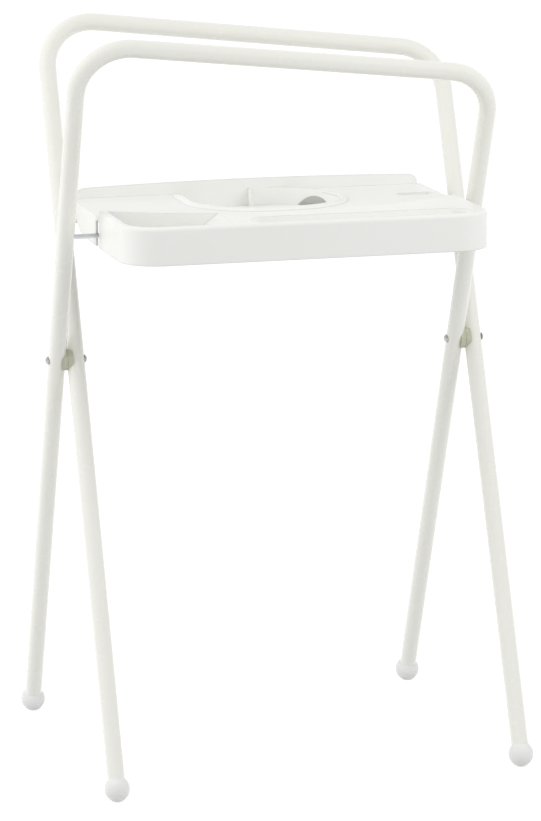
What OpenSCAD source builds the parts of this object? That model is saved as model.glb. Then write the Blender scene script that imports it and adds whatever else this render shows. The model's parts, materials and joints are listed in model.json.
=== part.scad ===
// Folding stand for a baby bath, with an accessory tray hinged between its legs.
// Two bent tube frames cross like scissors and turn on two pivot bolts. A steel rod joins the legs
// of each frame: the tray turns on the front rod and rests on the rear one, which holds the stand open.
// +X runs to the right along the top bars, -Y is the front and +Z is up.
// The origin is on the floor, in the middle of the stand's outline.

/* [Frames] */
// Outer diameter of the frame tube
tube_d = 22; // [20:0.5:25]
// Wall of the frame tube
tube_wall = 1.2; // [1:0.1:2]
// Distance between the two legs of one frame, middle to middle
leg_gap = 520; // [500:5:600]
// Lean of each frame away from upright, in degrees
lean = 22.5; // [21:0.5:25]
// Height of the pivots above the floor
pivot_h = 512; // [440:1:560]
// Pivot to the middle of the top bar, along the legs
upper_len = 413.5; // [380:0.5:460]
// How much longer the left leg is than the right one, which slopes the top bar
bar_drop = 60; // [0:1:80]
// Bend radius of the tube's centre line
bend_r = 60; // [45:1:80]
// Free gap between the two tubes where they cross
cross_gap = 2; // [1.6:0.1:4]

/* [Feet] */
// Diameter of a ball foot
ball_d = 32; // [29:1:40]
// Depth of the flat that a ball foot stands on
ball_flat = 0.6; // [0.4:0.1:1.5]
// Length of the plug that goes up into the tube
plug_len = 22; // [12:1:40]

/* [Pivots] */
// Diameter of the pivot bolt's shank
bolt_d = 6; // [5:0.5:7]
// Diameter of the barrel of the sleeve nut
barrel_d = 8; // [7.8:0.1:9]
// Diameter of the low domed heads
head_d = 10.5; // [9.5:0.5:14]
// Height of the low domed heads
head_h = 3; // [2:0.1:4.5]
// Diameter of the saddle washers between the tubes
saddle_d = 27; // [20:1:30]
// How far a saddle washer reaches round its tube
saddle_deep = 6.5; // [3:0.5:9]
// Thickness of the closed end of a sleeve nut, under its head
nut_end = 6; // [4:0.5:10]

/* [Rods] */
// Diameter of both steel rods
rod_d = 6; // [5:0.5:7]
// Pivot to a rod, along the legs
rod_up = 179; // [175:1:185]
// How far a rod reaches into each tube
rod_in = 5; // [3:0.5:8]

/* [Tray] */
// Gap between the tray and the nearest leg on each side, with the tray in the middle
side_gap = 8; // [6:0.5:15]
// How far the tray sits to the left of the middle between the legs
tray_left = 4; // [0:0.5:4]
// Wall of both tray mouldings
skin = 2.6; // [2:0.1:3.2]
// Front rod's middle to the tray's front face
front_reach = 170; // [160:1:174]
// Front rod's middle to the front moulding's rim
front_rim = 32.5; // [29:0.5:36]
// Front rod's middle to the rear moulding's deck
rear_deck = 25; // [23:0.5:27]
// Front rod's middle down to the tray's lower edge
tray_drop = 13; // [12:0.5:14]
// Width of the slot in the tray's side that the front rod passes through
rod_slot = 8; // [7.5:0.5:10]
// Radius of the tray's front corners
corner_r = 48; // [30:1:60]
// Radius of the rounded edge along the rim
edge_r = 4.5; // [3:0.5:6]
// How far the rear moulding's deck bulges forward between its ends
bulge = 75; // [66:1:84]
// Gap between the two mouldings along that curve
seam = 1.2; // [0.8:0.1:2]
// Width of the rim round the front moulding's hollows
rim_w = 9; // [7.5:0.5:12]

/* [Back wall] */
// Height of the back wall above the deck, at its middle
back_h = 16.5; // [12:0.5:30]
// How much lower the back wall is at its ends
back_arch = 4; // [1:0.5:8]
// Thickness of the back wall
back_t = 3.5; // [3:0.1:5]
// Radius of the back wall's upper corners
back_r = 10; // [5:1:12]
// Clearance between the rear rod and the back wall that hooks behind it
hook_gap = 3.5; // [3:0.5:6]
// How far the back wall reaches down below the rear rod's middle
hook_drop = 6; // [3:0.5:8]
// How far the ends of the back wall stand in from the tray's sides
back_inset = 5; // [4:0.5:8]
// Radius of the rounded lower rear corner of the tray's side walls
tail_r = 115; // [100:5:130]

/* [Cup well] */
// Width of the cup well
well_w = 190; // [182:2:200]
// Size of the cup well from the back wall to its front
well_l = 163; // [161:1:172]
// Radius of the well's front corners and of its rear right corner
well_r = 80; // [70:1:80]
// Radius of the well's rear left corner
well_corner_r = 8; // [5:1:12]
// Width of the raised ring round the well
ring_w = 5; // [4:0.5:7]
// Height of the raised ring above the deck
ring_h = 4; // [2:0.5:6]
// Length over which the ring's left side falls away towards the back wall
ring_fall = 36; // [20:1:60]
// Clearance between the well's floor and the rods that pass under it
well_lift = 1.6; // [1:0.1:3]
// Thickness of the well's floor and wall
well_t = 2; // [1.6:0.1:2.6]
// Length of the fin that stands out from the back wall into the well
fin_l = 18; // [8:1:40]
// Distance of the fin's left face from the tray's middle, to the left
fin_x = 1; // [0:1:20]
// Width of the arched window in the well's rounded rear right wall
window_w = 52; // [36:1:54]
// Height of that window
window_h = 13; // [10:0.5:14.5]
// Direction of that window from the middle of its rounding, in degrees from straight back
window_turn = 54; // [48:1:58]

/* [Front hollows] */
// Width of the soap hollow at its floor
soap_w = 76; // [50:1:80]
// Length of the ramp up from the soap hollow's floor to the rim
ramp_l = 50; // [35:1:55]
// Width of the long shallow channel
channel_w = 272; // [200:2:276]
// Size of that channel from front to back
channel_l = 44; // [30:1:50]
// Depth of that channel
channel_deep = 10; // [6:0.5:16]
// Width of the rim between that channel's right end and the tray's side
channel_in = 25; // [22:1:30]

/* [Comb pocket] */
// Width of the small pocket in the deck
pocket_w = 44; // [30:1:50]
// Size of that pocket from front to back
pocket_l = 20; // [12:1:26]
// Depth of that pocket
pocket_deep = 9; // [5:0.5:14]
// Radius of that pocket's corners
pocket_r = 4; // [2:0.5:5]
// Distance of that pocket's middle from the tray's right side
pocket_in = 34; // [31:1:42]
// How far that pocket lies in front of the middle between the rods
pocket_front = 9; // [0:1:16]

/* [Tray fixings] */
// Distance of the rod keepers from the tray's middle
keeper_x = 176; // [165:1:185]
// Width of a rod keeper, along the rod
keeper_w = 18; // [14:1:24]
// Length of a rod keeper, across the rod
keeper_l = 24; // [22:1:26]
// Thickness of a rod keeper below the rod's middle
keeper_t = 7; // [6:0.5:8]
// Distance of the joining tabs from the tray's middle
tab_x = 124; // [118:1:130]
// Width of a joining tab
tab_w = 26; // [16:1:30]
// Thickness of a joining tab
tab_t = 3; // [2.4:0.1:3.6]
// Front rod's middle to the underside of the joining tabs
tab_z = 8; // [7:0.5:9]
// Diameter of the bosses that the joining tabs are screwed to
boss_d = 9; // [8:0.5:11]
// Distance of the two ribs under the deck from the tray's middle
rib_x = 150; // [140:5:155]
// How far those ribs reach forward from the rear rod
rib_l = 34; // [26:1:50]
// Diameter of the screws under the tray
screw_d = 3.5; // [3:0.5:4]
// Length of the screws under the tray, without their heads
screw_l = 12; // [9:1:14]

/* [Fits] */
// Radial clearance of a shaft that turns in its hole
run = 0.08; // [0.02:0.01:0.1]
// Radial clearance of a piece that is fixed in its hole
fixed = 0.05; // [0.02:0.01:0.1]
// Gap between faces that move past each other
slide = 0.3; // [0.2:0.05:0.6]

/* [Hidden] */
$fn = 64;
eps = 1;                                         // how far a cut reaches past the face that it opens

tube_white = [0.93, 0.93, 0.90];
tray_white = [0.95, 0.95, 0.95];
foot_white = [0.90, 0.90, 0.90];
steel = [0.62, 0.64, 0.66];
saddle_grey = [0.36, 0.37, 0.31];

tube_r = tube_d / 2;
bore_r = tube_r - tube_wall;
step = tube_d + cross_gap;                       // sideways distance between the crossing legs
bar_slope = atan(bar_drop / leg_gap);
turn_left = 90 + bar_slope;                      // turn of the bend at the longer leg
turn_right = 90 - bar_slope;
tangent_left = bend_r * tan(turn_left / 2);
tangent_right = bend_r * tan(turn_right / 2);
bend_full = 0.08;                                // how much fuller a bend is than the straight runs
run_in = 1;                                      // how far a straight run reaches into a bend
top_left = upper_len + bar_drop / 2;             // where leg and bar would meet, along the leg
top_right = upper_len - bar_drop / 2;
ball_z = ball_d / 2 - ball_flat;
leg_down = (pivot_h - ball_z) / cos(lean);       // pivot to the ball's middle, along the leg
plug_sink = ball_d / 8;                          // how far the plug starts below the ball's middle
stack = step + tube_d;                           // both tubes and the gap between them
shank_end = stack + slide - nut_end;             // end of a bolt's shank, from the outer tube's face
crown_cut = 0.06;                                // how much of the heads' domes is flattened

rod_r = rod_d / 2;
rod_y = rod_up * sin(lean);                      // each rod's distance from the pivot plane
rod_z = pivot_h + rod_up * cos(lean);
rods_apart = 2 * rod_y;

tray_w = leg_gap - step - tube_d - 2 * side_gap;
half_w = tray_w / 2;
slot_h = rod_slot / 2;
seat_r = rod_r + run;
back_in = rods_apart + rod_r + hook_gap;         // inner face of the back wall
back_out = back_in + back_t;
curve_r = (half_w * half_w + bulge * bulge) / (2 * bulge);
curve_mid = curve_r - bulge - slot_h;            // middle of the curve between the two mouldings
well_floor = rod_r + well_lift;                  // underside of the well's floor
well_mid = (well_w - 2 * well_r) / 2;            // half of the well's straight front
ring_low = 0.5;                                  // height of the ring's left side at the back wall
soap_in = half_w - rim_w;
front_in = front_reach - rim_w;
channel_x = half_w - channel_in;                 // right end of the channel
channel_r = 0.42 * channel_l;                    // radius of the channel's corners
pocket_x = half_w - pocket_in;
pocket_y = rods_apart / 2 - pocket_front;
seam_end_r = 4;                                  // rounding of the front moulding's two rear corners
seam_full = 1.004;                               // how much fuller those arcs are than tangent ones
lip_h = 6.8;                                     // height of the lip along the deck's curved front edge
tab_hold = 8;                                    // how far behind the middle of the seam the tabs start
tab_end = 9;                                     // how far they end in front of the front rod's axis
tab_root = tab_hold - slot_h - bulge;
tab_screw_y = -tab_end - boss_d;
keeper_screw_y = (rod_r + keeper_l / 2) / 2;
rod_way = 12;                                    // how far the rear rod's seat is open to the front

feet_reach = leg_down * sin(lean) + ball_d / 2;
tray_reach = rod_y + front_reach;
shift_y = (tray_reach - feet_reach) / 2;         // puts the origin in the middle of the outline

// ---------- placing ----------

// Frame A leans its top forward and frame B leans its top back. Inside, +Z runs up along the legs
// from the pivots and X is measured from the middle of the frame.
module in_frame(is_a) {
    translate([(is_a ? -1 : 1) * step / 2, shift_y, pivot_h])
        rotate([(is_a ? 1 : -1) * lean, 0, 0]) children();
}

// Inside, the origin is on the front rod's axis, in the middle of the tray's width.
module in_tray() {
    translate([-tray_left, shift_y - rod_y, rod_z]) children();
}

// A cylinder along X from x0 to x1.
module rod_x(r, x0, x1) {
    translate([x0, 0, 0]) rotate([0, 90, 0]) cylinder(r = r, h = x1 - x0);
}

// ---------- frames ----------

// A bend about the point x, z. The straight runs end a little way inside it.
module bend(r, x, z, start, turn) {
    translate([x, 0, z]) rotate([90, 0, 0]) rotate([0, 0, start])
        rotate_extrude(angle = turn) translate([bend_r, 0]) circle(r + bend_full);
}

// The bent centre line as a solid of radius r. Its legs reach down by leg_end.
module u_path(r, leg_end) {
    left_z = top_left - tangent_left;
    right_z = top_right - tangent_right;
    bar_from = tangent_left - run_in;
    bar_len = leg_gap / cos(bar_slope) - tangent_left - tangent_right + 2 * run_in;
    translate([-leg_gap / 2, 0, -leg_end]) cylinder(r = r, h = leg_end + left_z + run_in);
    translate([leg_gap / 2, 0, -leg_end]) cylinder(r = r, h = leg_end + right_z + run_in);
    bend(r, bend_r - leg_gap / 2, left_z, turn_right, turn_left);
    bend(r, leg_gap / 2 - bend_r, right_z, 0, turn_right);
    translate([bar_from * cos(bar_slope) - leg_gap / 2, 0, top_left - bar_from * sin(bar_slope)])
        rotate([0, 90 + bar_slope, 0]) cylinder(r = r, h = bar_len);
}

// hole_left and hole_right are the radii of the pivot holes in the two legs.
module u_tube(hole_left, hole_right) {
    difference() {
        u_path(tube_r, leg_down);
        u_path(bore_r, leg_down + eps);
        for (leg = [[-1, hole_left], [1, hole_right]])
            translate([leg[0] * leg_gap / 2, 0, 0]) rod_x(leg[1], -tube_d, tube_d);
        translate([0, 0, rod_up]) rod_x(rod_r + fixed, -leg_gap / 2, leg_gap / 2);
    }
}

module frame_a_tube() {
    color(tube_white) in_frame(true) u_tube(bolt_d / 2 + fixed, barrel_d / 2 + fixed);
}

module frame_b_tube() {
    color(tube_white) in_frame(false) u_tube(barrel_d / 2 + run, bolt_d / 2 + run);
}

// side is -1 for the left leg and 1 for the right leg. The flat stays level while the socket leans.
module foot(is_a, side) {
    color(foot_white) in_frame(is_a) translate([side * leg_gap / 2, 0, -leg_down]) {
        difference() {
            rotate([(is_a ? -1 : 1) * lean, 0, 0]) rotate_extrude() intersection() {
                circle(ball_d / 2);
                translate([0, -ball_z]) square([ball_d, ball_z + ball_d]);
            }
            cylinder(r = tube_r + fixed, h = ball_d);
        }
        translate([0, 0, -plug_sink]) cylinder(r = bore_r - fixed, h = plug_sink + plug_len);
    }
}

// A rod joins the two legs of one frame and ends inside their inner walls.
module leg_rod(is_a) {
    reach = leg_gap / 2 - tube_r + rod_in;
    color(steel) in_frame(is_a) translate([0, 0, rod_up]) rod_x(rod_r, -reach, reach);
}

// ---------- pivots ----------

// Inside, +X runs inward from the outer face of the outer tube, on the pivot axis.
module at_pivot(side) {
    translate([side * (leg_gap / 2 + step / 2 + tube_r), shift_y, pivot_h])
        rotate([0, 0, side > 0 ? 180 : 0]) children();
}

// A low dome whose flat side is at x = 0, standing out towards -X. Its crown is slightly flattened.
module low_head() {
    full_h = head_h + crown_cut;
    dome_r = (head_d * head_d / 4 + full_h * full_h) / (2 * full_h);
    rotate([0, -90, 0]) rotate_extrude() intersection() {
        square([head_d / 2, head_h]);
        translate([0, full_h - dome_r]) circle(dome_r, $fn = 96);
    }
}

module pivot_bolt(side) {
    color(steel) at_pivot(side) {
        translate([-slide, 0, 0]) low_head();
        rod_x(bolt_d / 2, -slide, shank_end);
    }
}

// Its barrel goes through both walls of the inner tube and ends in that tube's saddle.
module sleeve_nut(side) {
    color(steel) at_pivot(side) translate([stack + slide, 0, 0]) mirror([1, 0, 0]) {
        low_head();
        difference() {
            rod_x(barrel_d / 2, 0, tube_d);
            rod_x(bolt_d / 2 + fixed, nut_end - fixed, tube_d + eps);
        }
    }
}

// A disc between the tubes: flat against its neighbour, hollowed to the round of its own tube. The
// inner tube's saddle has a wider hole, for the barrel.
module saddle(is_a, side) {
    toward_tube = (is_a ? -1 : 1);
    pin_d = (toward_tube * side < 0) ? barrel_d : bolt_d;
    color(saddle_grey) difference() {
        translate([side * leg_gap / 2, shift_y, pivot_h]) rotate([0, 90 * toward_tube, 0])
            translate([0, 0, slide / 2]) cylinder(d = saddle_d, h = saddle_deep);
        in_frame(is_a) translate([side * leg_gap / 2, 0, -saddle_d])
            cylinder(r = tube_r + fixed, h = 2 * saddle_d);
        translate([side * leg_gap / 2, shift_y, pivot_h]) rod_x(pin_d / 2 + run, -tube_d, tube_d);
    }
}

// ---------- tray: plan shapes ----------

// What a corner of radius r takes off, with the corner at the origin and the plate towards +X +Y.
module corner_off(r) {
    if (r > 0) difference() {
        translate([-eps, -eps]) square(r + eps);
        translate([r, r]) circle(r, $fn = 96);
    }
}

// A plate from x[0] to x[1] and y[0] to y[1]. The radii of its corners are front, left and right:
// both front corners, the rear left one and the rear right one.
module plate(x, y, front, left, right) {
    difference() {
        translate([x[0], y[0]]) square([x[1] - x[0], y[1] - y[0]]);
        translate([x[0], y[0]]) corner_off(front);
        translate([x[1], y[0]]) mirror([1, 0]) corner_off(front);
        translate([x[0], y[1]]) mirror([0, 1]) corner_off(left);
        translate([x[1], y[1]]) rotate(180) corner_off(right);
    }
}

// The rear moulding's bulge as a disc, grown by grow.
module bulge_disc(grow) {
    translate([0, curve_mid]) circle(curve_r + grow, $fn = 180);
}

// What rounding to radius r takes off at both places where the tray's side meets a curve of radius
// curve. The plate lies outside that curve where out is 1 and inside it where out is -1. The arc is
// a little fuller than a tangent one, so that it crosses both edges.
module seam_ends_off(r, curve, out) {
    mid = [half_w - r, curve_mid - sqrt(pow(curve + out * r, 2) - pow(half_w - r, 2))];
    near = curve / (curve + out * r);
    corner_y = curve_mid - sqrt(curve * curve - half_w * half_w);
    for (side = [0, 1]) mirror([side, 0]) difference() {
        polygon([mid, [half_w + eps, mid[1]], [half_w + eps, corner_y + out * 2 * eps],
                 [near * mid[0], curve_mid + near * (mid[1] - curve_mid)]]);
        translate(mid) circle(seam_full * r, $fn = 96);
    }
}

// The front moulding's outline: everything in front of the curved seam.
module front_plan() {
    difference() {
        plate([-half_w, half_w], [-front_reach, -slot_h], corner_r, 0, 0);
        bulge_disc(seam);
        seam_ends_off(seam_end_r, curve_r + seam, 1);
    }
}

// What a rounded edge of radius r takes off: r is measured from the middle of its arc.
module edge_off(r) {
    difference() {
        square(r + eps);
        circle(r, $fn = 48);
    }
}

// ---------- tray: front moulding ----------

// Rounds the rim along the front and both sides of the front moulding.
module round_front_rim() {
    for (side = [-1, 1]) {
        translate([side * (half_w - edge_r), -slot_h + eps, front_rim - edge_r]) rotate([90, 0, 0])
            linear_extrude(front_reach - corner_r - slot_h + eps)
                mirror([side < 0 ? 1 : 0, 0]) edge_off(edge_r);
        translate([side * (half_w - corner_r), corner_r - front_reach, front_rim - edge_r])
            rotate([0, 0, side < 0 ? 180 : 270]) rotate_extrude(angle = 90, $fn = 96)
                translate([corner_r - edge_r, 0]) edge_off(edge_r);
    }
    translate([corner_r - half_w, edge_r - front_reach, front_rim - edge_r]) rotate([90, 0, 90])
        linear_extrude(tray_w - 2 * corner_r) mirror([1, 0]) edge_off(edge_r);
}

// The soap hollow grown by grow, up to top above the rim: a rounded plan whose right end is a ramp.
module soap_solid(grow, top) {
    floor_z = -tray_drop + skin - grow;
    x0 = -soap_in - grow;
    x1 = -soap_in + soap_w + grow;
    tall = front_rim - floor_z;
    intersection() {
        translate([0, 0, floor_z]) linear_extrude(tall + top) difference() {
            plate([x0, x1 + ramp_l], [-front_in - grow, -slot_h], corner_r - rim_w + grow, 0, 0);
            bulge_disc(rim_w - grow);
        }
        translate([0, -slot_h, 0]) rotate([90, 0, 0]) linear_extrude(front_reach)
            polygon([[x0, floor_z], [x1, floor_z], [x1 + ramp_l, front_rim + eps], [x0, front_rim + eps]]);
    }
}

// The channel grown by grow, up to top above the rim.
module channel_solid(grow, top) {
    translate([0, 0, front_rim - channel_deep - grow]) linear_extrude(channel_deep + grow + top)
        plate([channel_x - channel_w - grow, channel_x + grow],
              [-front_in - grow, channel_l - front_in + grow],
              channel_r + grow, channel_r + grow, channel_r + grow);
}

// Tabs that reach back under the rear moulding's deck and take the joining screws.
module tabs() {
    for (side = [-1, 1])
        translate([side * tab_x - tab_w / 2, tab_root, tab_z]) cube([tab_w, -tab_end - tab_root, tab_t]);
}

module tray_front() {
    color(tray_white) in_tray() difference() {
        union() {
            difference() {
                translate([0, 0, -tray_drop]) linear_extrude(front_rim + tray_drop) front_plan();
                translate([0, 0, -tray_drop - eps]) linear_extrude(front_rim + tray_drop + eps - skin)
                    difference() {
                        plate([skin - half_w, half_w - skin], [skin - front_reach, -slot_h - skin],
                              corner_r - skin, 0, 0);
                        bulge_disc(seam + skin);
                    }
                round_front_rim();
            }
            soap_solid(skin, -skin / 2);
            channel_solid(skin, -skin / 2);
            tabs();
        }
        soap_solid(0, eps);
        channel_solid(0, eps);
        for (side = [-1, 1]) translate([side * tab_x, tab_screw_y, tab_z - eps])
            cylinder(r = screw_d / 2 + fixed, h = tab_t + 2 * eps);
    }
}

// ---------- tray: rear moulding ----------

// The deck's outline: straight sides and a front edge that bulges over the front rod. Its rounded
// front corners leave the slots in the sides open at the top.
module deck_plan(inset) {
    difference() {
        intersection() {
            bulge_disc(-inset);
            translate([inset - half_w, -bulge - slot_h])
                square([tray_w - 2 * inset, bulge + slot_h + back_in]);
        }
        seam_ends_off(2 * curve_mid * slot_h / (curve_r - half_w), curve_r, -1);
    }
}

// Side view of the walls: their lower edge rises in an arc to the rear rod.
module side_view() {
    tail_y = rods_apart / 2;
    translate([slot_h, -tray_drop]) square([tail_y - slot_h, tray_drop + rear_deck]);
    intersection() {
        translate([tail_y, tail_r - tray_drop]) circle(tail_r, $fn = 180);
        translate([tail_y - eps, -tray_drop]) square([back_out - tail_y + eps, tray_drop + rear_deck]);
    }
}

module side_walls() {
    for (side = [-1, 1])
        translate([side * (half_w - skin / 2) - skin / 2, 0, 0]) rotate([90, 0, 90])
            linear_extrude(skin) side_view();
}

// Room for the rear rod under a wall or rib: a round seat that is open below and to the front.
module rear_rod_room() {
    translate([rods_apart, 0]) circle(rod_r + slide);
    translate([rods_apart - rod_way, -tray_drop - eps]) square([rod_way + rod_r + slide, tray_drop + eps]);
}

// Ribs under the deck that carry it on the rear rod.
module rear_ribs() {
    for (side = [-1, 1])
        translate([side * rib_x - skin / 2, 0, 0]) rotate([90, 0, 90]) linear_extrude(skin) difference() {
            translate([rods_apart - rib_l, 0])
                square([back_in - rods_apart + rib_l + eps, rear_deck - skin / 2]);
            rear_rod_room();
        }
}

// The back wall: an arched upper edge, rounded upper corners, and a hook behind the rear rod.
module back_wall() {
    top_z = rear_deck + back_h;
    wide = half_w - back_inset;
    arch_r = (wide * wide + back_arch * back_arch) / (2 * back_arch);
    translate([0, back_out, 0]) rotate([90, 0, 0]) linear_extrude(back_t) {
        intersection() {
            translate([0, top_z - arch_r]) circle(arch_r, $fn = 360);
            difference() {
                translate([-wide, 0]) square([2 * wide, top_z]);
                for (side = [0, 1]) mirror([side, 0]) translate([-wide, top_z - back_arch]) mirror([0, 1])
                    corner_off(back_r);
            }
        }
        translate([-half_w, -hook_drop]) square([tray_w, hook_drop + rear_deck]);
    }
}

// The well's outline grown by grow. Its rear edge is the back wall's inner face.
module well_plan(grow) {
    translate([0, back_in]) plate([-well_w / 2 - grow, well_w / 2 + grow], [-well_l - grow, grow],
                                        well_r + grow, well_corner_r + grow, well_r + grow);
}

// Bosses hang from the deck onto the tabs and take their screws.
module tab_bosses() {
    for (side = [-1, 1]) translate([side * tab_x, tab_screw_y, tab_z + tab_t])
        cylinder(d = boss_d, h = rear_deck - skin / 2 - tab_z - tab_t);
}

// A block round half of the hinge bore. It rises from z by height h.
module hinge_block(side, z, h) {
    translate([side * keeper_x - keeper_w / 2, -keeper_l / 2, z]) cube([keeper_w, keeper_l, h]);
}

module keeper_screw_places() {
    for (side = [-1, 1], end = [-1, 1]) translate([side * keeper_x, end * keeper_screw_y, 0]) children();
}

// The pocket grown by grow, up to top above the deck.
module pocket_solid(grow, top) {
    translate([0, 0, rear_deck - pocket_deep - grow]) linear_extrude(pocket_deep + grow + top)
        plate([pocket_x - pocket_w / 2 - grow, pocket_x + pocket_w / 2 + grow],
              [pocket_y - pocket_l / 2 - grow, pocket_y + pocket_l / 2 + grow],
              pocket_r + grow, pocket_r + grow, pocket_r + grow);
}

// An arched window through the well's rounded wall, as a bar along +Y from the middle of its rounding.
module window() {
    side = (window_w * window_w / 4 + window_h * window_h) / (2 * window_h);
    reach = well_r + well_t + eps;
    translate([well_mid, back_in - well_r, well_floor + well_t]) rotate([0, 0, -window_turn])
        translate([0, reach, window_h - side]) rotate([90, 0, 0]) intersection() {
            cylinder(r = side, h = reach / 2, $fn = 96);
            translate([-window_w / 2, side - window_h, -eps]) cube([window_w, window_h + eps, reach]);
        }
}

// A wedge that takes the top off the ring's left side, so that it falls away towards the back wall.
module ring_wedge() {
    past = 1.5;                                  // length of the wedge, as a share of ring_fall
    tall = ring_low + past * (ring_h - ring_low);
    translate([-well_w / 2 - ring_w - eps, back_in, rear_deck]) rotate([90, 0, 90])
        linear_extrude(ring_w + well_corner_r + 2 * eps)
            polygon([[0, ring_low], [0, tall], [-past * ring_fall, tall]]);
}

module tray_rear() {
    color(tray_white) in_tray() difference() {
        union() {
            translate([0, 0, rear_deck - skin]) linear_extrude(skin) deck_plan(0);
            // lip along the curved front edge
            translate([0, 0, rear_deck - lip_h]) linear_extrude(lip_h - skin / 2) difference() {
                deck_plan(0);
                deck_plan(skin);
                translate([-half_w, slot_h]) square([tray_w, back_out]);
            }
            side_walls();
            rear_ribs();
            back_wall();
            translate([0, 0, well_floor]) linear_extrude(rear_deck - well_floor) well_plan(well_t);
            translate([0, 0, rear_deck - skin / 2]) linear_extrude(ring_h + skin / 2) intersection() {
                well_plan(ring_w);
                translate([-half_w, -front_reach]) square([tray_w, front_reach + back_in]);
            }
            pocket_solid(skin, -skin / 2);
            tab_bosses();
            for (side = [-1, 1]) hinge_block(side, 0, rear_deck - skin / 2);
        }
        difference() {
            translate([0, 0, well_floor + well_t]) linear_extrude(rear_deck + ring_h) well_plan(0);
            translate([-fin_x, back_in - fin_l, 0]) cube([skin, fin_l + eps, rear_deck + ring_h]);
        }
        ring_wedge();
        pocket_solid(0, eps);
        window();
        rod_x(seat_r, -half_w, half_w);
        keeper_screw_places() translate([0, 0, -eps])
            cylinder(r = screw_d / 2 + fixed, h = screw_l - keeper_t / 2 + eps);
        for (side = [-1, 1]) translate([side * tab_x, tab_screw_y, tab_z])
            cylinder(r = screw_d / 2 + fixed, h = screw_l + fixed);
    }
}

// ---------- tray: fixings ----------

// A strap under the front rod that holds the lower half of the hinge bore.
module rod_keeper(side) {
    color(tray_white) in_tray() difference() {
        hinge_block(side, -keeper_t, keeper_t);
        rod_x(seat_r, -half_w, half_w);
        keeper_screw_places() translate([0, 0, -keeper_t - eps]) {
            cylinder(r = screw_d / 2 + fixed, h = keeper_t + 2 * eps);
            cylinder(r = screw_d + fixed, h = keeper_t / 2 + eps);
        }
    }
}

// A pan head with its shank going up from z = 0.
module screw(len) {
    cylinder(r = screw_d / 2, h = len);
    translate([0, 0, -screw_d * 0.6]) cylinder(r = screw_d, h = screw_d * 0.6);
}

module keeper_screws() {
    color(steel) in_tray() keeper_screw_places() translate([0, 0, -keeper_t / 2]) screw(screw_l - fixed);
}

module tab_screws() {
    color(steel) in_tray() for (side = [-1, 1])
        translate([side * tab_x, tab_screw_y, tab_z]) screw(screw_l);
}

// ---------- assembly ----------

frame_a_tube();
frame_b_tube();
foot(true, -1);  // foot_back_left
foot(true, 1);  // foot_back_right
foot(false, -1);  // foot_front_left
foot(false, 1);  // foot_front_right
leg_rod(true);  // front_rod
leg_rod(false);  // rear_rod
pivot_bolt(-1);  // pivot_bolt_left
pivot_bolt(1);  // pivot_bolt_right
sleeve_nut(-1);  // sleeve_nut_left
sleeve_nut(1);  // sleeve_nut_right
saddle(true, -1);  // saddle_a_left
saddle(true, 1);  // saddle_a_right
saddle(false, -1);  // saddle_b_left
saddle(false, 1);  // saddle_b_right
tray_front();
tray_rear();
rod_keeper(-1);  // rod_keeper_left
rod_keeper(1);  // rod_keeper_right
keeper_screws();
tab_screws();
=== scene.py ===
# Looks, lights and camera for the folding stand for a baby bath. Lengths are in metres unless a comment says mm.
import json
import math

import bmesh
import bpy
from mathutils import Matrix, Vector


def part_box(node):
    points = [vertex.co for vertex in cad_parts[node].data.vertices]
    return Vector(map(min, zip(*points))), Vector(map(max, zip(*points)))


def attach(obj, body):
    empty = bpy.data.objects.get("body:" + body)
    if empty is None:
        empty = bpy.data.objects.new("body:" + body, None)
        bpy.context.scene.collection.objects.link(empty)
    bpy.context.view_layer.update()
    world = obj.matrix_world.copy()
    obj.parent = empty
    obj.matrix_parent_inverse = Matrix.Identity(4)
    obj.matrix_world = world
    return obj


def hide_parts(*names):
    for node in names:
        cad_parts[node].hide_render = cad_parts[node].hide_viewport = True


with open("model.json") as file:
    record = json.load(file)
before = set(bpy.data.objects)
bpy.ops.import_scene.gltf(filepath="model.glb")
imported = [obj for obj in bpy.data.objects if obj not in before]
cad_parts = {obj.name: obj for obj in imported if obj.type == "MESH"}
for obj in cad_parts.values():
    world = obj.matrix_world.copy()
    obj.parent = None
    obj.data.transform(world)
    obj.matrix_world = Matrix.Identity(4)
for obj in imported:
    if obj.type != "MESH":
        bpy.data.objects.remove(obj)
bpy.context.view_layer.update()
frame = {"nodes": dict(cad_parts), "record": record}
nodes = frame["nodes"]
scene = bpy.context.scene

# ---------- camera: the photograph's viewing angle ----------

IMAGE_H = 821                                   # pixels, the long side of the photograph
FOCAL_PX = 3545.365                             # focal length in those pixels
SENSOR = 36.0                                   # mm, along the long side
CLIP_START, CLIP_END = 0.1, 100
AIM = Vector((0.003064, 0.008401, 0.431228))    # the camera and the lamps point here
AWAY = 4.504634                                 # from AIM to the camera
AZIMUTH, ELEVATION, ROLL = (math.radians(degrees) for degrees in (-14.748, 11.866, -0.373))


def make_camera():
    data = bpy.data.cameras.new("camera")
    data.sensor_fit = "AUTO"
    data.sensor_width = SENSOR
    data.lens = FOCAL_PX / IMAGE_H * SENSOR
    data.clip_start, data.clip_end = CLIP_START, CLIP_END
    cam = bpy.data.objects.new("camera", data)
    scene.collection.objects.link(cam)
    back = Vector((math.sin(AZIMUTH) * math.cos(ELEVATION), -math.cos(AZIMUTH) * math.cos(ELEVATION),
                   math.sin(ELEVATION)))
    right = Vector((math.cos(AZIMUTH), math.sin(AZIMUTH), 0))
    up = back.cross(right)
    rolled_right = right * math.cos(ROLL) + up * math.sin(ROLL)
    rolled_up = up * math.cos(ROLL) - right * math.sin(ROLL)
    turn = Matrix((rolled_right, rolled_up, back)).transposed().to_4x4()
    cam.matrix_world = Matrix.Translation(AIM + back * AWAY) @ turn
    scene.camera = cam


make_camera()

# ---------- node trees ----------

NOISE_LOW, NOISE_HIGH = 0.3, 0.7                # most of a noise texture's values lie between these


def rgb(r, g, b):
    return (r, g, b, 1.0)


WHITE = rgb(1, 1, 1)


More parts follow.
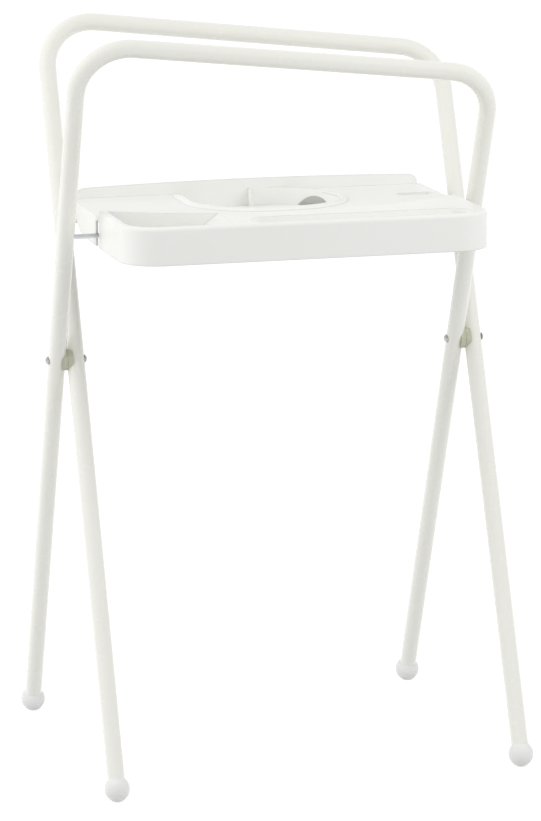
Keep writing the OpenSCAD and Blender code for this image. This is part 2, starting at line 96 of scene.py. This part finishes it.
class Nodes:
    """A node tree. Nodes and their links are written as add(type, properties, input=value or socket)."""

    def __init__(self, tree, output):
        self.tree = tree
        self.tree.nodes.clear()
        self.out = self.add(output)

    def add(self, kind, props=None, **inputs):
        """An input is named with _ for each space, or by i and its number."""
        node = self.tree.nodes.new("ShaderNode" + kind)
        for key, value in (props or {}).items():
            setattr(node, key, value)
        for key, value in inputs.items():
            by_number = key[0] == "i" and key[1:].isdigit()
            self.put(node, int(key[1:]) if by_number else key.replace("_", " "), value)
        return node

    def put(self, node, key, value):
        if isinstance(value, bpy.types.NodeSocket):
            self.tree.links.new(value, node.inputs[key])
        else:
            node.inputs[key].default_value = value

    def show(self, shader):
        """Makes this shader node the tree's surface."""
        self.put(self.out, "Surface", shader.outputs[0])

    def is_looked_at(self):
        """1 for what the camera sees, directly, in a mirror or through glass, and 0 for what lights the object."""
        path = self.add("LightPath")
        value = path.outputs["Is Camera Ray"]
        for ray in ("Is Glossy Ray", "Is Transmission Ray"):
            value = self.add("Math", {"operation": "MAXIMUM"}, i0=value, i1=path.outputs[ray]).outputs[0]
        return value


class Material(Nodes):
    """A procedural material in the object's own coordinates."""

    def __init__(self, name):
        self.material = bpy.data.materials.new(name)
        self.material.use_nodes = True
        super().__init__(self.material.node_tree, "OutputMaterial")

    def noise(self, scale, detail=3, rough=0.5, stretch=(1, 1, 1)):
        """Noise with about scale cells in a metre, drawn out along each axis whose stretch is under 1."""
        mapping = self.add("Mapping", Vector=self.add("TexCoord").outputs["Object"], Scale=stretch)
        node = self.add("TexNoise", Vector=mapping.outputs["Vector"], Scale=scale, Detail=detail, Roughness=rough)
        return node.outputs["Fac"]

    def span(self, noise, low, high):
        """A number that wanders from low to high with the noise."""
        node = self.add("MapRange", Value=noise, From_Min=NOISE_LOW, From_Max=NOISE_HIGH, To_Min=low, To_Max=high)
        return node.outputs["Result"]

    def colour(self, noise, low, high):
        """A colour that wanders from low to high with the noise."""
        node = self.add("Mix", {"data_type": "RGBA"}, i0=self.span(noise, 0, 1), i6=low, i7=high)
        return node.outputs[2]

    def bump(self, height, strength, distance, **normal):
        """Normals for a relief of that height, on top of another Normal if one is given."""
        node = self.add("Bump", Height=height, Strength=strength, Distance=distance, **normal)
        return node.outputs["Normal"]

    def principled(self, **inputs):
        """Ends the tree in a Principled shader, and returns the material."""
        self.show(self.add("BsdfPrincipled", **inputs))
        return self.material


# ---------- materials ----------

EDGE_R = 0.002                                  # the tray's edges are shaded as if rounded to this radius


def tube_paint():
    """Gloss off-white enamel with a faint orange peel, and a slightly duller bloom here and there."""
    m = Material("tube_paint")
    peel = m.noise(520, 2)
    return m.principled(
        Base_Color=m.colour(m.noise(9, 4, 0.6), rgb(0.890, 0.888, 0.826), rgb(0.900, 0.898, 0.840)),
        Roughness=m.span(m.noise(60), 0.24, 0.28), Coat_Weight=1.0, Coat_Roughness=0.08,
        Normal=m.bump(peel, 0.06, 0.0001))


def tray_plastic():
    """Satin white injection-moulded plastic: fine grain, faint flow marks and softened edges."""
    m = Material("tray_plastic")
    flow = m.noise(14, 3, 0.55, (0.35, 1.0, 1.0))
    grain = m.noise(1500, 2, 0.6)
    soft_edge = m.add("Bevel", {"samples": 6}, Radius=EDGE_R)
    return m.principled(
        Base_Color=m.colour(flow, rgb(0.926, 0.927, 0.900), rgb(0.945, 0.946, 0.922)),
        Roughness=m.span(m.noise(85), 0.30, 0.42), Specular_IOR_Level=0.45,
        Normal=m.bump(grain, 0.10, 0.00012, Normal=soft_edge.outputs["Normal"]))


def ball_plastic():
    """Glossy cool white plastic with a hint of cloudiness."""
    m = Material("ball_plastic")
    return m.principled(
        Base_Color=m.colour(m.noise(45), rgb(0.842, 0.842, 0.832), rgb(0.868, 0.868, 0.858)),
        Roughness=m.span(m.noise(240, 2), 0.16, 0.26), Coat_Weight=0.3, Coat_Roughness=0.06,
        Normal=m.bump(m.noise(900, 2), 0.05, 0.0001))


def drawn_steel():
    """Bright drawn rod: fine lines along X over a slightly mottled grey."""
    m = Material("drawn_steel")
    lines = m.noise(900, 3, 0.6, (0.012, 1.0, 1.0))
    return m.principled(
        Base_Color=m.colour(lines, rgb(0.48, 0.495, 0.51), rgb(0.64, 0.655, 0.67)), Metallic=1.0,
        Roughness=m.span(m.noise(120), 0.20, 0.34), Anisotropic=0.4,
        Normal=m.bump(lines, 0.25, 0.00008))


def bolt_steel():
    """Dark satin steel with turning marks round the heads."""
    m = Material("bolt_steel")
    marks = m.noise(700, 4, 0.65, (0.3, 1.0, 1.0))
    return m.principled(
        Base_Color=m.colour(marks, rgb(0.38, 0.38, 0.375), rgb(0.56, 0.565, 0.56)), Metallic=1.0,
        Roughness=m.span(m.noise(300), 0.28, 0.45),
        Normal=m.bump(marks, 0.2, 0.0001))


def saddle_plastic_painted_shade():
    """Matt plastic with a grained surface. Its olive-grey colour is painted shade: darker and greener than the
    saddle's own near-white plastic, for the shade in the gap between the tubes.
    """
    m = Material("saddle_plastic_painted_shade")
    grain = m.noise(1300, 3, 0.6)
    return m.principled(
        # painted shade: both colours are darker and more olive than the saddle's own near-white
        Base_Color=m.colour(m.noise(160, 4, 0.6), rgb(0.520, 0.520, 0.400), rgb(0.620, 0.620, 0.500)),
        Roughness=m.span(m.noise(260), 0.50, 0.68),
        Normal=m.bump(grain, 0.35, 0.0002))


def screw_zinc():
    """Zinc plate: bluish and yellowish clouds on bright metal."""
    m = Material("screw_zinc")
    return m.principled(
        Base_Color=m.colour(m.noise(420, 4, 0.6), rgb(0.52, 0.54, 0.57), rgb(0.66, 0.65, 0.60)), Metallic=1.0,
        Roughness=m.span(m.noise(900), 0.25, 0.42),
        Normal=m.bump(m.noise(1600, 2), 0.15, 0.0001))


FINISHES = {
    "tube": tube_paint(), "tray": tray_plastic(), "ball": ball_plastic(), "rod": drawn_steel(),
    "bolt": bolt_steel(), "saddle": saddle_plastic_painted_shade(), "screw": screw_zinc(),
}
for part in frame["record"]["subparts"]:
    mesh = nodes[part["node"]].data
    mesh.materials.clear()
    mesh.materials.append(FINISHES[part["material_slot"]])

# ---------- pieces on the tray ----------

MM = 0.001
TRAY_X = -0.004                                 # the tray sits 4 mm left of the middle
ROD_LOW, ROD_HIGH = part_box("front_rod")
ROD = Vector((TRAY_X, (ROD_LOW[1] + ROD_HIGH[1]) / 2, (ROD_LOW[2] + ROD_HIGH[2]) / 2))

# The rear moulding in mm, from the front rod's axis in the tray's middle, as in part.scad
DECK = 25.0                                     # top of the deck
WALL_Y = 143.5                                  # inner face of the back wall
WELL_X = 95.0                                   # half the cup well's width
WELL_Y = -19.5                                  # the well's front edge
WELL_R = 80.0                                   # its three large roundings
RING_W = 5.0                                    # width of the raised ring round the well
RING_H = 4.0                                    # height of that ring
RING_LOW = 0.5                                  # height of its left side at the back wall
RING_FALL = 36.0                                # length over which that side falls away

# The bead over that ring, in mm
IN_WALL = 0.3                                   # depth of its ends in the back wall
SINK_FROM, SINK_TO = 96.0, 122.0                # its right end sinks into the ring between these, and stops
SUNK_IN, SUNK_W, SUNK_H = 0.5, 0.7, 0.75        # there: how far in from the edge, and its share of width and height
FOOT_LOW = 0.35                                 # share of the foot's spread that is left where the bead has no height
# height as a share of the ring's, distance from the well's edge, depth below that height
BEAD_PROFILE = (
    (0.0, -0.12, 0.3), (0.40, -0.14, 0), (0.76, -0.10, 0), (0.92, 0.10, 0), (1.00, 0.50, 0), (1.06, 1.2, 0),
    (1.09, 2.4, 0), (1.07, 3.6, 0), (1.02, 4.5, 0), (0.93, 5.15, 0), (0.78, 5.7, 0), (0.58, 6.4, 0),
    (0.36, 7.3, 0), (0.18, 8.3, 0), (0.06, 9.4, 0), (0.0, 10.6, 0.1), (0.0, 10.6, 0.3),
)


def new_piece(name, bm, finish, smooth=True):
    """An object from a bmesh, in the finish of that material slot."""
    mesh = bpy.data.meshes.new(name)
    bmesh.ops.recalc_face_normals(bm, faces=bm.faces)
    for face in bm.faces:
        face.smooth = smooth
    bm.to_mesh(mesh)
    bm.free()
    mesh.materials.append(FINISHES[finish])
    piece = bpy.data.objects.new(name, mesh)
    scene.collection.objects.link(piece)
    return piece


def loft(bm, rings):
    """A closed skin over rings that have the same number of points, with a face on each end."""
    for a, b in zip(rings, rings[1:]):
        for i in range(len(a)):
            j = (i + 1) % len(a)
            bm.faces.new((a[i], a[j], b[j], b[i]))
    bm.faces.new(rings[0])
    bm.faces.new(reversed(rings[-1]))


def well_path():
    """The well's inner edge from the back wall round the front to the back wall: points and outward normals."""
    arc_steps = 40
    mid = WELL_X - WELL_R
    # y of points down the left side, close together where the bead falls away
    left_side = (WALL_Y + IN_WALL, 139, 134, 128, 122, 116, 111, 107, 103, 98, 88, 75)
    # middle of each quarter circle, and the angle in degrees at which it starts
    arcs = ((-mid, WELL_Y + WELL_R, 180), (mid, WELL_Y + WELL_R, 270), (mid, WALL_Y - WELL_R, 0))
    path = [((-WELL_X, y), (-1.0, 0.0)) for y in left_side]
    for cx, cy, start in arcs:
        for i in range(arc_steps + 1):
            a = math.radians(start + 90 * i / arc_steps)
            path.append(((cx + WELL_R * math.cos(a), cy + WELL_R * math.sin(a)), (math.cos(a), math.sin(a))))
    return path


def make_well_bead():
    """A rounded bead over the well's ring, with a soft foot on the deck. Its left end falls away to the
    back wall, and its right end sinks into the ring where the ring meets that wall."""
    bm = bmesh.new()
    rings = []
    for (x, y), (nx, ny) in well_path():
        if ny > 0 and y > SINK_TO:
            break
        falls = x < 0 and ny == 0
        tall = min(RING_H, RING_LOW + RING_H * (WALL_Y - y) / RING_FALL) if falls else RING_H
        foot = FOOT_LOW + (1 - FOOT_LOW) * tall / RING_H
        sunk = min(1.0, max(0.0, (y - SINK_FROM) / (SINK_TO - SINK_FROM))) if ny > 0 else 0.0
        ring = []
        for level, out, deep in BEAD_PROFILE:
            if out > RING_W:
                out = RING_W + (out - RING_W) * foot
            out = (1 - sunk) * out + sunk * (SUNK_IN + SUNK_W * min(out, RING_W))
            z = DECK + (1 - (1 - SUNK_H) * sunk) * tall * level - deep
            point = Vector((x + nx * out, min(y + ny * out, WALL_Y + IN_WALL), z))
            ring.append(bm.verts.new(ROD + point * MM))
        rings.append(ring)
    loft(bm, rings)
    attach(new_piece("well_bead", bm, "tray"), "tray")


def islands(mesh):
    """Lowest and highest corner of each separate solid in a mesh, from left to right."""
    bm = bmesh.new()
    bm.from_mesh(mesh)
    bmesh.ops.remove_doubles(bm, verts=bm.verts, dist=1e-6)
    left, boxes = set(bm.verts), []
    while left:
        todo = [left.pop()]
        found = list(todo)
        while todo:
            for edge in todo.pop().link_edges:
                for vert in edge.verts:
                    if vert in left:
                        left.discard(vert)
                        todo.append(vert)
                        found.append(vert)
        boxes.append(tuple(Vector([pick(v.co[i] for v in found) for i in range(3)]) for pick in (min, max)))
    bm.free()
    return sorted(boxes, key=lambda box: (round(box[0].x, 4), round(box[0].y, 4)))


# A screw, whose sizes are shares of the head's radius, and its head's depths shares of the head's height
HEAD_H, SHANK_R = 0.6, 0.5                      # as in part.scad
RECESS = ((0.30, 0.07, 0.75), (0.46, 0.11, 0.08))   # the cross at its bottom and at its rim: reach, half width, depth
PAN = ((0.56, 0.02), (0.80, 0.12), (0.94, 0.36), (1.0, 0.75), (1.0, 1.0))   # the head round it: radius, depth
TURNS, TURNS_FROM, TURNS_LENGTH = 9, 0.04, 0.86   # how many, and where on the shank, as shares of its length
CREST, ROOT, TIP = 0.98, 0.80, 0.10             # shares of the shank's radius
CORNER = 1.1                                    # least radius of the cross, in half widths of its arms
TINY = 1e-4                                     # keeps the cross's formula from dividing by zero
STEPS = 48                                      # points round the screw


def cross_radius(angle, reach, half):
    """How far a cross with arms of that reach and half width goes out at that angle."""
    off = (angle + math.pi / 4) % (math.pi / 2) - math.pi / 4
    return max(min(reach / math.cos(off), half / max(abs(math.sin(off)), TINY)), half * CORNER)


def screw_mesh(bm, low, high):
    """A pan-head screw with a cross recess and thread turns, head down, filling the box from low to high."""
    middle = (low + high) / 2
    head_r = (high.x - low.x) / 2
    head_h = HEAD_H * head_r
    shank_r = SHANK_R * head_r
    length = high.z - low.z
    angles = [2 * math.pi * i / STEPS for i in range(STEPS)]
    rings = []

    def ring(depth, radii):
        rings.append([bm.verts.new((middle.x + r * math.cos(a), middle.y + r * math.sin(a), low.z + depth))
                      for a, r in zip(angles, radii)])

    def disc(depth, radius):
        ring(depth, [radius] * STEPS)

    for reach, half, depth in RECESS:
        ring(depth * head_h, [cross_radius(a, reach * head_r, half * head_r) for a in angles])
    for radius, depth in PAN:
        disc(depth * head_h, radius * head_r)
    disc(head_h, shank_r)
    for i in range(2 * TURNS):
        along = TURNS_FROM + TURNS_LENGTH * (i + 0.5) / (2 * TURNS)
        disc(head_h + (length - head_h) * along, shank_r * (CREST if i % 2 else ROOT))
    disc(length, TIP * shank_r)
    loft(bm, rings)


def make_screws(node):
    """Detailed screws in place of a CAD node of plain ones."""
    bm = bmesh.new()
    for low, high in islands(nodes[node].data):
        screw_mesh(bm, low, high)
    piece = new_piece(node + "_cross_head", bm, "screw", smooth=False)
    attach(piece, "tray")
    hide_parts(node)


make_well_bead()
make_screws("keeper_screws")
make_screws("tab_screws")

# ---------- floor, lights and world ----------

FLOOR_SIZE = 40.0
FLOOR_GREY = 0.70                               # what the floor throws back of the light on it
FLOOR_LIFT = 0.60                               # what is added where the floor is looked at, to reach white
AMBIENT = 0.675                                 # the world's white, as a light on the object
BACKDROP = 1.0                                  # the world's white, where it is looked at


def make_floor():
    """Pale ground, open to views from below."""
    m = Material("floor_white")
    diffuse = m.add("BsdfDiffuse", Color=rgb(FLOOR_GREY, FLOOR_GREY, FLOOR_GREY))
    lift = m.add("Math", {"operation": "MULTIPLY"}, i0=m.is_looked_at(), i1=FLOOR_LIFT)
    glow = m.add("Emission", Color=WHITE, Strength=lift.outputs[0])
    ground = m.add("AddShader", i0=diffuse.outputs[0], i1=glow.outputs[0])
    below = m.add("NewGeometry").outputs["Backfacing"]
    clear = m.add("BsdfTransparent")
    m.show(m.add("MixShader", i0=below, i1=ground.outputs[0], i2=clear.outputs[0]))
    bpy.ops.mesh.primitive_plane_add(size=FLOOR_SIZE, location=(0, 0, 0))
    floor = bpy.context.object
    floor.name = "floor"
    floor.data.materials.append(m.material)


def make_world():
    world = bpy.data.worlds.new("studio")
    scene.world = world
    world.use_nodes = True
    tree = Nodes(world.node_tree, "OutputWorld")
    light, backdrop = (tree.add("Background", Color=WHITE, Strength=white) for white in (AMBIENT, BACKDROP))
    tree.show(tree.add("MixShader", i0=tree.is_looked_at(), i1=light.outputs[0], i2=backdrop.outputs[0]))


def area_light(name, place, size, power):
    """A round lamp of that diameter and power in watts, which points at AIM."""
    data = bpy.data.lights.new(name, "AREA")
    data.shape = "DISK"
    data.size = size
    data.energy = power
    lamp = bpy.data.objects.new(name, data)
    lamp.location = place
    lamp.rotation_mode = "QUATERNION"
    lamp.rotation_quaternion = (Vector(place) - AIM).to_track_quat("Z", "Y")
    lamp.visible_glossy = False                 # keeps its glare off the tray, seen from the far side
    scene.collection.objects.link(lamp)


make_floor()
make_world()
area_light("key", place=(-2.5, 0.15, 1.7), size=2.8, power=32)
area_light("fill", place=(1.5, -1.5, 1.9), size=2.0, power=17)

scene.view_settings.view_transform = "Standard"
